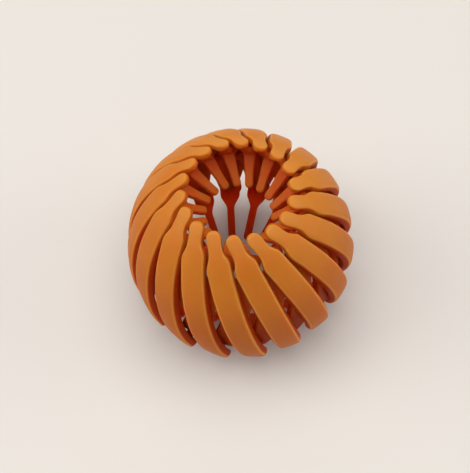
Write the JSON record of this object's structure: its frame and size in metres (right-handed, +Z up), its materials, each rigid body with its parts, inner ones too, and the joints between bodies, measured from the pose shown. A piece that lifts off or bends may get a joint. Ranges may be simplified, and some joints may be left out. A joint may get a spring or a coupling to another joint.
{
  "type": "bird nest hair clip",
  "caption": "Round hair clip: two layers of curved plastic blades crossed like scissors and closed into a ring with inward teeth; it expands to take in a bun",
  "frame": {"origin": "on the axis of the ring, at the level of the surface that the lower teeth stand on", "axes": "+Z up along the axis of the ring, towards the side with the fingers; +X to the right and -Y towards the viewer of the picture"},
  "size_m": [0.0702, 0.0702, 0.0603],
  "materials": {
    "plastic": "satin"
  },
  "bodies": {
    "outer_blade_01": {"outer_blade_01": "plastic"},
    "inner_blade_01": {"inner_blade_01": "plastic"},
    "rivet_01": {"rivet_01": "plastic"},
    "outer_blade_02": {"outer_blade_02": "plastic"},
    "inner_blade_02": {"inner_blade_02": "plastic"},
    "rivet_02": {"rivet_02": "plastic"},
    "outer_blade_03": {"outer_blade_03": "plastic"},
    "inner_blade_03": {"inner_blade_03": "plastic"},
    "rivet_03": {"rivet_03": "plastic"},
    "outer_blade_04": {"outer_blade_04": "plastic"},
    "inner_blade_04": {"inner_blade_04": "plastic"},
    "rivet_04": {"rivet_04": "plastic"},
    "outer_blade_05": {"outer_blade_05": "plastic"},
    "inner_blade_05": {"inner_blade_05": "plastic"},
    "rivet_05": {"rivet_05": "plastic"},
    "outer_blade_06": {"outer_blade_06": "plastic"},
    "inner_blade_06": {"inner_blade_06": "plastic"},
    "rivet_06": {"rivet_06": "plastic"},
    "outer_blade_07": {"outer_blade_07": "plastic"},
    "inner_blade_07": {"inner_blade_07": "plastic"},
    "rivet_07": {"rivet_07": "plastic"},
    "outer_blade_08": {"outer_blade_08": "plastic"},
    "inner_blade_08": {"inner_blade_08": "plastic"},
    "rivet_08": {"rivet_08": "plastic"},
    "outer_blade_09": {"outer_blade_09": "plastic"},
    "inner_blade_09": {"inner_blade_09": "plastic"},
    "rivet_09": {"rivet_09": "plastic"},
    "outer_blade_10": {"outer_blade_10": "plastic"},
    "inner_blade_10": {"inner_blade_10": "plastic"},
    "rivet_10": {"rivet_10": "plastic"},
    "outer_blade_11": {"outer_blade_11": "plastic"},
    "inner_blade_11": {"inner_blade_11": "plastic"},
    "rivet_11": {"rivet_11": "plastic"},
    "outer_blade_12": {"outer_blade_12": "plastic"},
    "inner_blade_12": {"inner_blade_12": "plastic"},
    "rivet_12": {"rivet_12": "plastic"},
    "outer_blade_13": {"outer_blade_13": "plastic"},
    "inner_blade_13": {"inner_blade_13": "plastic"},
    "rivet_13": {"rivet_13": "plastic"},
    "outer_blade_14": {"outer_blade_14": "plastic"},
    "inner_blade_14": {"inner_blade_14": "plastic"},
    "rivet_14": {"rivet_14": "plastic"},
    "outer_blade_15": {"outer_blade_15": "plastic"},
    "inner_blade_15": {"inner_blade_15": "plastic"},
    "rivet_15": {"rivet_15": "plastic"},
    "outer_blade_16": {"outer_blade_16": "plastic"},
    "inner_blade_16": {"inner_blade_16": "plastic"},
    "rivet_16": {"rivet_16": "plastic"},
    "outer_blade_17": {"outer_blade_17": "plastic"},
    "inner_blade_17": {"inner_blade_17": "plastic"},
    "rivet_17": {"rivet_17": "plastic"},
    "outer_blade_18": {"outer_blade_18": "plastic"},
    "inner_blade_18": {"inner_blade_18": "plastic"},
    "rivet_18": {"rivet_18": "plastic"}
  },
  "joints": [
    {"name": "rivet_spread_10", "type": "slide", "parent": "rivet_01", "child": "rivet_10", "axis": [-0.9919, -0.1271, 0], "range_m": [0, 0.048]},
    {"name": "rivet_spread_02", "type": "slide", "parent": "rivet_01", "child": "rivet_02", "axis": [-0.2974, 0.9548, 0], "range_m": [-0.0005, 0.00884]},
    {"name": "rivet_spread_03", "type": "slide", "parent": "rivet_01", "child": "rivet_03", "axis": [-0.4587, 0.8886, 0], "range_m": [-0.0005, 0.01692]},
    {"name": "rivet_spread_04", "type": "slide", "parent": "rivet_01", "child": "rivet_04", "axis": [-0.606, 0.7955, 0], "range_m": [-0.0005, 0.0245]},
    {"name": "rivet_spread_05", "type": "slide", "parent": "rivet_01", "child": "rivet_05", "axis": [-0.7349, 0.6782, 0], "range_m": [-0.0005, 0.03135]},
    {"name": "rivet_spread_06", "type": "slide", "parent": "rivet_01", "child": "rivet_06", "axis": [-0.8415, 0.5402, 0], "range_m": [-0.0005, 0.03727]},
    {"name": "rivet_spread_07", "type": "slide", "parent": "rivet_01", "child": "rivet_07", "axis": [-0.9225, 0.3859, 0], "range_m": [-0.0005, 0.04207]},
    {"name": "rivet_spread_08", "type": "slide", "parent": "rivet_01", "child": "rivet_08", "axis": [-0.9755, 0.2198, 0], "range_m": [-0.0005, 0.04561]},
    {"name": "rivet_spread_09", "type": "slide", "parent": "rivet_01", "child": "rivet_09", "axis": [-0.9989, 0.0471, 0], "range_m": [-0.0005, 0.04777]},
    {"name": "rivet_spread_11", "type": "slide", "parent": "rivet_01", "child": "rivet_11", "axis": [-0.9548, -0.2974, 0], "range_m": [-0.0005, 0.04777]},
    {"name": "rivet_spread_12", "type": "slide", "parent": "rivet_01", "child": "rivet_12", "axis": [-0.8886, -0.4587, 0], "range_m": [-0.0005, 0.04561]},
    {"name": "rivet_spread_13", "type": "slide", "parent": "rivet_01", "child": "rivet_13", "axis": [-0.7955, -0.606, 0], "range_m": [-0.0005, 0.04207]},
    {"name": "rivet_spread_14", "type": "slide", "parent": "rivet_01", "child": "rivet_14", "axis": [-0.6782, -0.7349, 0], "range_m": [-0.0005, 0.03727]},
    {"name": "rivet_spread_15", "type": "slide", "parent": "rivet_01", "child": "rivet_15", "axis": [-0.5402, -0.8415, 0], "range_m": [-0.0005, 0.03135]},
    {"name": "rivet_spread_16", "type": "slide", "parent": "rivet_01", "child": "rivet_16", "axis": [-0.3859, -0.9225, 0], "range_m": [-0.0005, 0.0245]},
    {"name": "rivet_spread_17", "type": "slide", "parent": "rivet_01", "child": "rivet_17", "axis": [-0.2198, -0.9755, 0], "range_m": [-0.0005, 0.01692]},
    {"name": "rivet_spread_18", "type": "slide", "parent": "rivet_01", "child": "rivet_18", "axis": [-0.0471, -0.9989, 0], "range_m": [-0.0005, 0.00884]},
    {"name": "outer_turn_01", "type": "hinge", "parent": "rivet_01", "child": "outer_blade_01", "pos_m": [0.02998, 0.00384, 0.0366], "axis": [0.9919, 0.1271, 0], "range_deg": [-0.5, 11.5]},
    {"name": "inner_turn_01", "type": "hinge", "parent": "rivet_01", "child": "inner_blade_01", "pos_m": [0.02998, 0.00384, 0.0366], "axis": [-0.9919, -0.1271, 0], "range_deg": [-0.5, 11.5]},
    {"name": "outer_turn_02", "type": "hinge", "parent": "rivet_02", "child": "outer_blade_02", "pos_m": [0.02686, 0.01386, 0.0366], "axis": [0.8886, 0.4587, 0], "range_deg": [-0.5, 11.5]},
    {"name": "inner_turn_02", "type": "hinge", "parent": "rivet_02", "child": "inner_blade_02", "pos_m": [0.02686, 0.01386, 0.0366], "axis": [-0.8886, -0.4587, 0], "range_deg": [-0.5, 11.5]},
    {"name": "outer_turn_03", "type": "hinge", "parent": "rivet_03", "child": "outer_blade_03", "pos_m": [0.0205, 0.02221, 0.0366], "axis": [0.6782, 0.7349, 0], "range_deg": [-0.5, 11.5]},
    {"name": "inner_turn_03", "type": "hinge", "parent": "rivet_03", "child": "inner_blade_03", "pos_m": [0.0205, 0.02221, 0.0366], "axis": [-0.6782, -0.7349, 0], "range_deg": [-0.5, 11.5]},
    {"name": "outer_turn_04", "type": "hinge", "parent": "rivet_04", "child": "outer_blade_04", "pos_m": [0.01166, 0.02788, 0.0366], "axis": [0.3859, 0.9225, 0], "range_deg": [-0.5, 11.5]},
    {"name": "inner_turn_04", "type": "hinge", "parent": "rivet_04", "child": "inner_blade_04", "pos_m": [0.01166, 0.02788, 0.0366], "axis": [-0.3859, -0.9225, 0], "range_deg": [-0.5, 11.5]},
    {"name": "outer_turn_05", "type": "hinge", "parent": "rivet_05", "child": "outer_blade_05", "pos_m": [0.00142, 0.03019, 0.0366], "axis": [0.0471, 0.9989, 0], "range_deg": [-0.5, 11.5]},
    {"name": "inner_turn_05", "type": "hinge", "parent": "rivet_05", "child": "inner_blade_05", "pos_m": [0.00142, 0.03019, 0.0366], "axis": [-0.0471, -0.9989, 0], "range_deg": [-0.5, 11.5]},
    {"name": "outer_turn_06", "type": "hinge", "parent": "rivet_06", "child": "outer_blade_06", "pos_m": [-0.00899, 0.02886, 0.0366], "axis": [-0.2974, 0.9548, 0], "range_deg": [-0.5, 11.5]},
    {"name": "inner_turn_06", "type": "hinge", "parent": "rivet_06", "child": "inner_blade_06", "pos_m": [-0.00899, 0.02886, 0.0366], "axis": [0.2974, -0.9548, 0], "range_deg": [-0.5, 11.5]},
    {"name": "outer_turn_07", "type": "hinge", "parent": "rivet_07", "child": "outer_blade_07", "pos_m": [-0.01832, 0.02404, 0.0366], "axis": [-0.606, 0.7955, 0], "range_deg": [-0.5, 11.5]},
    {"name": "inner_turn_07", "type": "hinge", "parent": "rivet_07", "child": "inner_blade_07", "pos_m": [-0.01832, 0.02404, 0.0366], "axis": [0.606, -0.7955, 0], "range_deg": [-0.5, 11.5]},
    {"name": "outer_turn_08", "type": "hinge", "parent": "rivet_08", "child": "outer_blade_08", "pos_m": [-0.02543, 0.01633, 0.0366], "axis": [-0.8415, 0.5402, 0], "range_deg": [-0.5, 11.5]},
    {"name": "inner_turn_08", "type": "hinge", "parent": "rivet_08", "child": "inner_blade_08", "pos_m": [-0.02543, 0.01633, 0.0366], "axis": [0.8415, -0.5402, 0], "range_deg": [-0.5, 11.5]},
    {"name": "outer_turn_09", "type": "hinge", "parent": "rivet_09", "child": "outer_blade_09", "pos_m": [-0.02948, 0.00664, 0.0366], "axis": [-0.9755, 0.2198, 0], "range_deg": [-0.5, 11.5]},
    {"name": "inner_turn_09", "type": "hinge", "parent": "rivet_09", "child": "inner_blade_09", "pos_m": [-0.02948, 0.00664, 0.0366], "axis": [0.9755, -0.2198, 0], "range_deg": [-0.5, 11.5]},
    {"name": "outer_turn_10", "type": "hinge", "parent": "rivet_10", "child": "outer_blade_10", "pos_m": [-0.02998, -0.00384, 0.0366], "axis": [-0.9919, -0.1271, 0], "range_deg": [-0.5, 11.5]},
    {"name": "inner_turn_10", "type": "hinge", "parent": "rivet_10", "child": "inner_blade_10", "pos_m": [-0.02998, -0.00384, 0.0366], "axis": [0.9919, 0.1271, 0], "range_deg": [-0.5, 11.5]},
    {"name": "outer_turn_11", "type": "hinge", "parent": "rivet_11", "child": "outer_blade_11", "pos_m": [-0.02686, -0.01386, 0.0366], "axis": [-0.8886, -0.4587, 0], "range_deg": [-0.5, 11.5]},
    {"name": "inner_turn_11", "type": "hinge", "parent": "rivet_11", "child": "inner_blade_11", "pos_m": [-0.02686, -0.01386, 0.0366], "axis": [0.8886, 0.4587, 0], "range_deg": [-0.5, 11.5]},
    {"name": "outer_turn_12", "type": "hinge", "parent": "rivet_12", "child": "outer_blade_12", "pos_m": [-0.0205, -0.02221, 0.0366], "axis": [-0.6782, -0.7349, 0], "range_deg": [-0.5, 11.5]},
    {"name": "inner_turn_12", "type": "hinge", "parent": "rivet_12", "child": "inner_blade_12", "pos_m": [-0.0205, -0.02221, 0.0366], "axis": [0.6782, 0.7349, 0], "range_deg": [-0.5, 11.5]},
    {"name": "outer_turn_13", "type": "hinge", "parent": "rivet_13", "child": "outer_blade_13", "pos_m": [-0.01166, -0.02788, 0.0366], "axis": [-0.3859, -0.9225, 0], "range_deg": [-0.5, 11.5]},
    {"name": "inner_turn_13", "type": "hinge", "parent": "rivet_13", "child": "inner_blade_13", "pos_m": [-0.01166, -0.02788, 0.0366], "axis": [0.3859, 0.9225, 0], "range_deg": [-0.5, 11.5]},
    {"name": "outer_turn_14", "type": "hinge", "parent": "rivet_14", "child": "outer_blade_14", "pos_m": [-0.00142, -0.03019, 0.0366], "axis": [-0.0471, -0.9989, 0], "range_deg": [-0.5, 11.5]},
    {"name": "inner_turn_14", "type": "hinge", "parent": "rivet_14", "child": "inner_blade_14", "pos_m": [-0.00142, -0.03019, 0.0366], "axis": [0.0471, 0.9989, 0], "range_deg": [-0.5, 11.5]},
    {"name": "outer_turn_15", "type": "hinge", "parent": "rivet_15", "child": "outer_blade_15", "pos_m": [0.00899, -0.02886, 0.0366], "axis": [0.2974, -0.9548, 0], "range_deg": [-0.5, 11.5]},
    {"name": "inner_turn_15", "type": "hinge", "parent": "rivet_15", "child": "inner_blade_15", "pos_m": [0.00899, -0.02886, 0.0366], "axis": [-0.2974, 0.9548, 0], "range_deg": [-0.5, 11.5]},
    {"name": "outer_turn_16", "type": "hinge", "parent": "rivet_16", "child": "outer_blade_16", "pos_m": [0.01832, -0.02404, 0.0366], "axis": [0.606, -0.7955, 0], "range_deg": [-0.5, 11.5]},
    {"name": "inner_turn_16", "type": "hinge", "parent": "rivet_16", "child": "inner_blade_16", "pos_m": [0.01832, -0.02404, 0.0366], "axis": [-0.606, 0.7955, 0], "range_deg": [-0.5, 11.5]},
    {"name": "outer_turn_17", "type": "hinge", "parent": "rivet_17", "child": "outer_blade_17", "pos_m": [0.02543, -0.01633, 0.0366], "axis": [0.8415, -0.5402, 0], "range_deg": [-0.5, 11.5]},
    {"name": "inner_turn_17", "type": "hinge", "parent": "rivet_17", "child": "inner_blade_17", "pos_m": [0.02543, -0.01633, 0.0366], "axis": [-0.8415, 0.5402, 0], "range_deg": [-0.5, 11.5]},
    {"name": "outer_turn_18", "type": "hinge", "parent": "rivet_18", "child": "outer_blade_18", "pos_m": [0.02948, -0.00664, 0.0366], "axis": [0.9755, -0.2198, 0], "range_deg": [-0.5, 11.5]},
    {"name": "inner_turn_18", "type": "hinge", "parent": "rivet_18", "child": "inner_blade_18", "pos_m": [0.02948, -0.00664, 0.0366], "axis": [-0.9755, 0.2198, 0], "range_deg": [-0.5, 11.5]}
  ],
  "couplings": [
    {"joint": "rivet_spread_02", "follows": "rivet_spread_10", "ratio": 0.17365},
    {"joint": "rivet_spread_03", "follows": "rivet_spread_10", "ratio": 0.34202},
    {"joint": "rivet_spread_04", "follows": "rivet_spread_10", "ratio": 0.5},
    {"joint": "rivet_spread_05", "follows": "rivet_spread_10", "ratio": 0.64279},
    {"joint": "rivet_spread_06", "follows": "rivet_spread_10", "ratio": 0.76604},
    {"joint": "rivet_spread_07", "follows": "rivet_spread_10", "ratio": 0.86603},
    {"joint": "rivet_spread_08", "follows": "rivet_spread_10", "ratio": 0.93969},
    {"joint": "rivet_spread_09", "follows": "rivet_spread_10", "ratio": 0.98481},
    {"joint": "rivet_spread_11", "follows": "rivet_spread_10", "ratio": 0.98481},
    {"joint": "rivet_spread_12", "follows": "rivet_spread_10", "ratio": 0.93969},
    {"joint": "rivet_spread_13", "follows": "rivet_spread_10", "ratio": 0.86603},
    {"joint": "rivet_spread_14", "follows": "rivet_spread_10", "ratio": 0.76604},
    {"joint": "rivet_spread_15", "follows": "rivet_spread_10", "ratio": 0.64279},
    {"joint": "rivet_spread_16", "follows": "rivet_spread_10", "ratio": 0.5},
    {"joint": "rivet_spread_17", "follows": "rivet_spread_10", "ratio": 0.34202},
    {"joint": "rivet_spread_18", "follows": "rivet_spread_10", "ratio": 0.17365},
    {"joint": "outer_turn_01", "follows": "rivet_spread_10", "rad_per_m": 3.9942},
    {"joint": "inner_turn_01", "follows": "rivet_spread_10", "rad_per_m": 3.9942},
    {"joint": "outer_turn_02", "follows": "rivet_spread_10", "rad_per_m": 3.9942},
    {"joint": "inner_turn_02", "follows": "rivet_spread_10", "rad_per_m": 3.9942},
    {"joint": "outer_turn_03", "follows": "rivet_spread_10", "rad_per_m": 3.9942},
    {"joint": "inner_turn_03", "follows": "rivet_spread_10", "rad_per_m": 3.9942},
    {"joint": "outer_turn_04", "follows": "rivet_spread_10", "rad_per_m": 3.9942},
    {"joint": "inner_turn_04", "follows": "rivet_spread_10", "rad_per_m": 3.9942},
    {"joint": "outer_turn_05", "follows": "rivet_spread_10", "rad_per_m": 3.9942},
    {"joint": "inner_turn_05", "follows": "rivet_spread_10", "rad_per_m": 3.9942},
    {"joint": "outer_turn_06", "follows": "rivet_spread_10", "rad_per_m": 3.9942},
    {"joint": "inner_turn_06", "follows": "rivet_spread_10", "rad_per_m": 3.9942},
    {"joint": "outer_turn_07", "follows": "rivet_spread_10", "rad_per_m": 3.9942},
    {"joint": "inner_turn_07", "follows": "rivet_spread_10", "rad_per_m": 3.9942},
    {"joint": "outer_turn_08", "follows": "rivet_spread_10", "rad_per_m": 3.9942},
    {"joint": "inner_turn_08", "follows": "rivet_spread_10", "rad_per_m": 3.9942},
    {"joint": "outer_turn_09", "follows": "rivet_spread_10", "rad_per_m": 3.9942},
    {"joint": "inner_turn_09", "follows": "rivet_spread_10", "rad_per_m": 3.9942},
    {"joint": "outer_turn_10", "follows": "rivet_spread_10", "rad_per_m": 3.9942},
    {"joint": "inner_turn_10", "follows": "rivet_spread_10", "rad_per_m": 3.9942},
    {"joint": "outer_turn_11", "follows": "rivet_spread_10", "rad_per_m": 3.9942},
    {"joint": "inner_turn_11", "follows": "rivet_spread_10", "rad_per_m": 3.9942},
    {"joint": "outer_turn_12", "follows": "rivet_spread_10", "rad_per_m": 3.9942},
    {"joint": "inner_turn_12", "follows": "rivet_spread_10", "rad_per_m": 3.9942},
    {"joint": "outer_turn_13", "follows": "rivet_spread_10", "rad_per_m": 3.9942},
    {"joint": "inner_turn_13", "follows": "rivet_spread_10", "rad_per_m": 3.9942},
    {"joint": "outer_turn_14", "follows": "rivet_spread_10", "rad_per_m": 3.9942},
    {"joint": "inner_turn_14", "follows": "rivet_spread_10", "rad_per_m": 3.9942},
    {"joint": "outer_turn_15", "follows": "rivet_spread_10", "rad_per_m": 3.9942},
    {"joint": "inner_turn_15", "follows": "rivet_spread_10", "rad_per_m": 3.9942},
    {"joint": "outer_turn_16", "follows": "rivet_spread_10", "rad_per_m": 3.9942},
    {"joint": "inner_turn_16", "follows": "rivet_spread_10", "rad_per_m": 3.9942},
    {"joint": "outer_turn_17", "follows": "rivet_spread_10", "rad_per_m": 3.9942},
    {"joint": "inner_turn_17", "follows": "rivet_spread_10", "rad_per_m": 3.9942},
    {"joint": "outer_turn_18", "follows": "rivet_spread_10", "rad_per_m": 3.9942},
    {"joint": "inner_turn_18", "follows": "rivet_spread_10", "rad_per_m": 3.9942}
  ]
}
